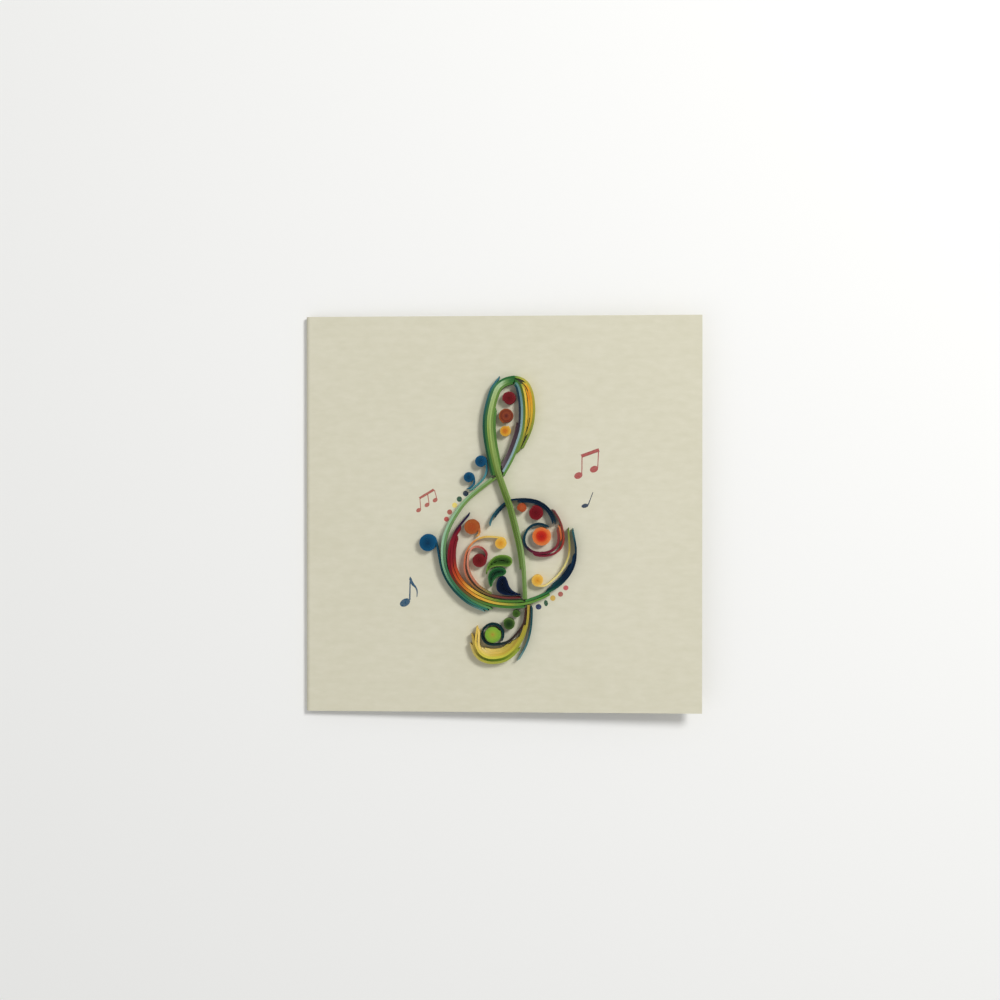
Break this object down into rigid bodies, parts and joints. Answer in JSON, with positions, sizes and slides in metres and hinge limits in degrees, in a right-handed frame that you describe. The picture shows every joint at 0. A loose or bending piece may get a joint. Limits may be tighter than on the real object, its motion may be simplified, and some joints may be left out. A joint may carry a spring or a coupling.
{
  "type": "quilled paper greeting card",
  "caption": "Folded square card carrying a treble clef quilled from coloured paper strips and rolls set on edge, with small notes and dots printed beside it.",
  "frame": {"origin": "middle of the folded card's footprint, on the surface it lies on", "axes": "+Z out of the card's front towards the viewer, +Y up the picture, +X to the picture's right, away from the fold"},
  "size_m": [0.15, 0.15, 0.0105],
  "materials": {
    "amber_paper": "matte",
    "blue_paper": "matte",
    "brown_paper": "matte",
    "card_stock": "matte, laid texture",
    "cream_paper": "matte",
    "crimson_paper": "matte",
    "dark_green_paper": "matte",
    "gold_paper": "matte",
    "green_paper": "matte",
    "grey_blue_paper": "matte",
    "light_green_paper": "matte",
    "lime_paper": "matte",
    "maroon_paper": "matte",
    "mint_paper": "matte",
    "moss_paper": "matte",
    "navy_paper": "matte",
    "olive_paper": "matte",
    "orange_paper": "matte",
    "red_paper": "matte",
    "teal_paper": "matte",
    "yellow_paper": "matte"
  },
  "bodies": {
    "root": {"arc_crimson_roll": "crimson_paper", "arc_inner_strip": "navy_paper", "arc_maroon_strip": "maroon_paper", "arc_navy_strip": "navy_paper", "arc_orange_roll": "orange_paper", "arc_orange_strip": "orange_paper", "arc_tail_inner_strip": "navy_paper", "arc_tail_strip": "teal_paper", "bowl_blue_roll": "blue_paper", "bowl_crimson_inner_strip": "brown_paper", "bowl_crimson_middle_strip": "crimson_paper", "bowl_crimson_outer_strip": "crimson_paper", "bowl_crimson_roll": "crimson_paper", "bowl_green_strip": "dark_green_paper", "bowl_mint_strip": "mint_paper", "bowl_navy_inner_strip": "navy_paper", "bowl_navy_middle_strip": "navy_paper", "bowl_navy_outer_strip": "navy_paper", "bowl_orange_roll": "orange_paper", "bowl_small_yellow_roll": "yellow_paper", "bowl_yellow_roll": "amber_paper", "dark_green_teardrop": "dark_green_paper", "folded_card": "card_stock", "green_teardrop": "olive_paper", "hook_cream_strip": "cream_paper", "hook_gold_strip": "gold_paper", "hook_large_green_roll": "olive_paper", "hook_lime_roll": "lime_paper", "hook_olive_strip": "moss_paper", "hook_pale_olive_strip": "lime_paper", "hook_ring_strip": "teal_paper", "hook_small_green_roll": "olive_paper", "hook_tan_strip": "amber_paper", "hook_teal_tail_strip": "teal_paper", "hook_yellow_strip": "yellow_paper", "loop_amber_roll": "amber_paper", "loop_brown_roll": "brown_paper", "loop_crimson_roll": "crimson_paper", "loop_dark_green_strip": "dark_green_paper", "loop_gold_strip": "gold_paper", "loop_grey_blue_strip": "grey_blue_paper", "loop_inner_olive_strip": "olive_paper", "loop_lime_strip": "lime_paper", "loop_maroon_strip": "maroon_paper", "loop_moss_strip": "moss_paper", "loop_navy_strip": "navy_paper", "loop_orange_strip": "orange_paper", "loop_teal_strip": "teal_paper", "loop_yellow_strip": "yellow_paper", "lower_blue_roll": "blue_paper", "navy_teardrop": "navy_paper", "ring_red_roll": "red_paper", "ring_teal_strip": "teal_paper", "stem_green_strip": "green_paper", "stem_light_green_strip": "light_green_paper", "stem_olive_strip": "olive_paper", "upper_blue_roll": "blue_paper"}
  },
  "joints": []
}
